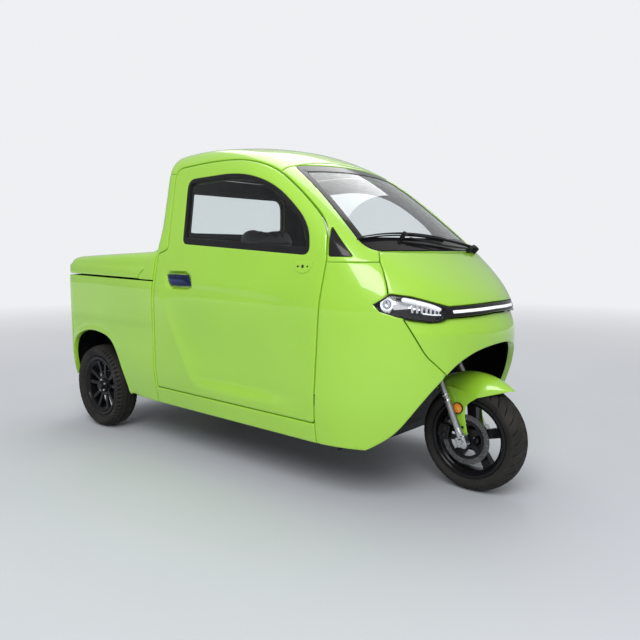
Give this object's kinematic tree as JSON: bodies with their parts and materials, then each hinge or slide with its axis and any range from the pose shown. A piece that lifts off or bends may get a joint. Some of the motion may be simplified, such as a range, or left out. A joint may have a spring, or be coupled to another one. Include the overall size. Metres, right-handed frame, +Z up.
{
  "type": "three wheeled electric pickup",
  "caption": "Compact enclosed pickup with a fork-steered front wheel, a rigid rear axle, hinged cab doors, a handlebar, and a covered cargo bed with a lifting lid.",
  "frame": {"origin": "on the ground under the middle of the car (bottom centre of its box)", "axes": "+X forward, +Y to the car's left, +Z up"},
  "size_m": [2.8, 1.2, 1.62],
  "materials": {
    "body_green": "gloss lime green paint",
    "glass": "dark tinted",
    "black_plastic": "black, fine grain",
    "black_gloss": "black gloss",
    "frame_black": "black chassis paint",
    "fork_silver": "satin",
    "steel": "brushed",
    "tyre_rubber": "black rubber",
    "rim_black": "gloss black alloy",
    "lamp_clear": "clear lamp cover over dark housing",
    "lamp_white": "white light strip",
    "lamp_red": "red lamp",
    "chrome": "dark chrome",
    "seat_vinyl": "black seat vinyl",
    "rubber": "black"
  },
  "bodies": {
    "body": {"battery_box": "black_plastic", "bed_deck": "black_plastic", "bed_side_left": "body_green", "bed_side_right": "body_green", "bonnet": "body_green", "cab_rear": "body_green", "cross_members": "frame_black", "dashboard": "black_plastic", "deck_strip": "body_green", "floor_pan": "frame_black", "frame_rails": "frame_black", "head_frame": "frame_black", "headlamps": "lamp_clear", "leaf_springs": "frame_black", "light_bar": "lamp_white", "nose_panel": "body_green", "quarter_trims": "black_gloss", "rear_axle": "frame_black", "rear_bumper": "frame_black", "rear_window": "glass", "roof": "body_green", "screen_frame": "body_green", "seat_back": "seat_vinyl", "seat_cushion": "seat_vinyl", "sills": "body_green", "tail_lamps": "lamp_red", "tail_panel": "body_green", "wheelhouse": "black_plastic", "windscreen": "glass", "wing_left": "body_green", "wing_right": "body_green"},
    "steering": {"fork_sliders": "fork_silver", "fork_yoke": "steel", "handlebar": "rubber", "front_fender": "body_green", "front_axle": "steel", "brake_caliper": "fork_silver"},
    "front_wheel": {"tyre_front": "tyre_rubber", "front_rim": "rim_black", "brake_disc": "steel"},
    "rear_wheel_right": {"tyre_rear_right": "tyre_rubber", "rim_rear_right": "rim_black"},
    "rear_wheel_left": {"tyre_rear_left": "tyre_rubber", "rim_rear_left": "rim_black"},
    "door_right": {"door_right": "body_green", "door_glass_right": "glass", "handle_right": "chrome"},
    "door_left": {"door_left": "body_green", "door_glass_left": "glass", "handle_left": "chrome"},
    "lid": {"lid": "body_green"}
  },
  "joints": [
    {"name": "steer", "type": "hinge", "parent": "body", "child": "steering", "pos_m": [1.12628, 0, 0.22721], "axis": [-0.4226, 0, 0.9063], "range_deg": [-35, 35]},
    {"name": "front_wheel_spin", "type": "hinge", "parent": "steering", "child": "front_wheel", "pos_m": [1.158, 0, 0.242], "axis": [0, 1, 0], "continuous": true},
    {"name": "rear_wheel_right_spin", "type": "hinge", "parent": "body", "child": "rear_wheel_right", "pos_m": [-1.05, -0.525, 0.248], "axis": [0, 1, 0], "continuous": true},
    {"name": "rear_wheel_left_spin", "type": "hinge", "parent": "body", "child": "rear_wheel_left", "pos_m": [-1.05, 0.525, 0.248], "axis": [0, 1, 0], "continuous": true},
    {"name": "door_right_swing", "type": "hinge", "parent": "body", "child": "door_right", "pos_m": [0.7246, -0.588, 0.48], "axis": [0.066, 0, 0.9978], "range_deg": [0, 65]},
    {"name": "door_left_swing", "type": "hinge", "parent": "body", "child": "door_left", "pos_m": [0.7246, 0.588, 0.48], "axis": [0.066, 0, 0.9978], "range_deg": [-65, 0]},
    {"name": "lid_lift", "type": "hinge", "parent": "body", "child": "lid", "pos_m": [-0.5606, 0, 1.07024], "axis": [0, 1, 0], "range_deg": [0, 70]}
  ]
}
